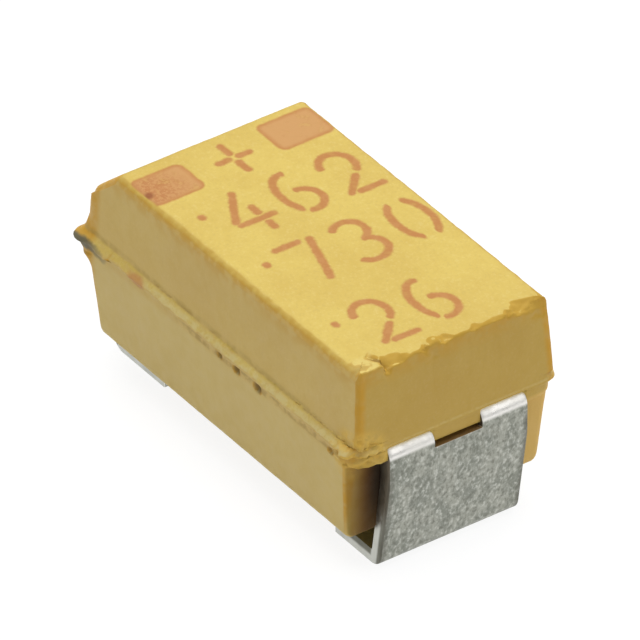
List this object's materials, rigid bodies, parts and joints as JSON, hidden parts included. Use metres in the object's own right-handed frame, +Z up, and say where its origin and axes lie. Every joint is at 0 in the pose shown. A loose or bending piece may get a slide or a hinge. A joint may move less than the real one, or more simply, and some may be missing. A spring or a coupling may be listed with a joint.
{
  "type": "tantalum capacitor",
  "caption": "Moulded tantalum chip capacitor: a yellow epoxy block with a bevelled positive end and a folded tin-plated terminal at each end, for soldering flat to a board.",
  "frame": {"origin": "the middle of the footprint, on the plane that the two feet stand on", "axes": "+X points to the negative end, -X to the bevelled positive end, +Z up through the marked top face"},
  "size_m": [0.0032, 0.0016, 0.0017],
  "materials": {
    "epoxy": "matt, lightly grained moulded epoxy",
    "tin_plate": "dull mottled tin plate",
    "tantalum_metal": "drawn wire",
    "sintered_tantalum": "porous sintered metal",
    "washer_plastic": "waxy white fluoropolymer",
    "manganese_dioxide": "matt black crust",
    "graphite": "satin dark grey coat",
    "silver_paint": "matt metallic paint",
    "silver_epoxy": "matt filled adhesive"
  },
  "bodies": {
    "root": {"case": "epoxy", "positive_terminal": "tin_plate", "negative_terminal": "tin_plate", "tantalum_wire": "tantalum_metal", "tantalum_pellet": "sintered_tantalum", "insulating_washer": "washer_plastic", "manganese_dioxide_layer": "manganese_dioxide", "graphite_layer": "graphite", "silver_layer": "silver_paint", "silver_adhesive": "silver_epoxy"}
  },
  "joints": []
}
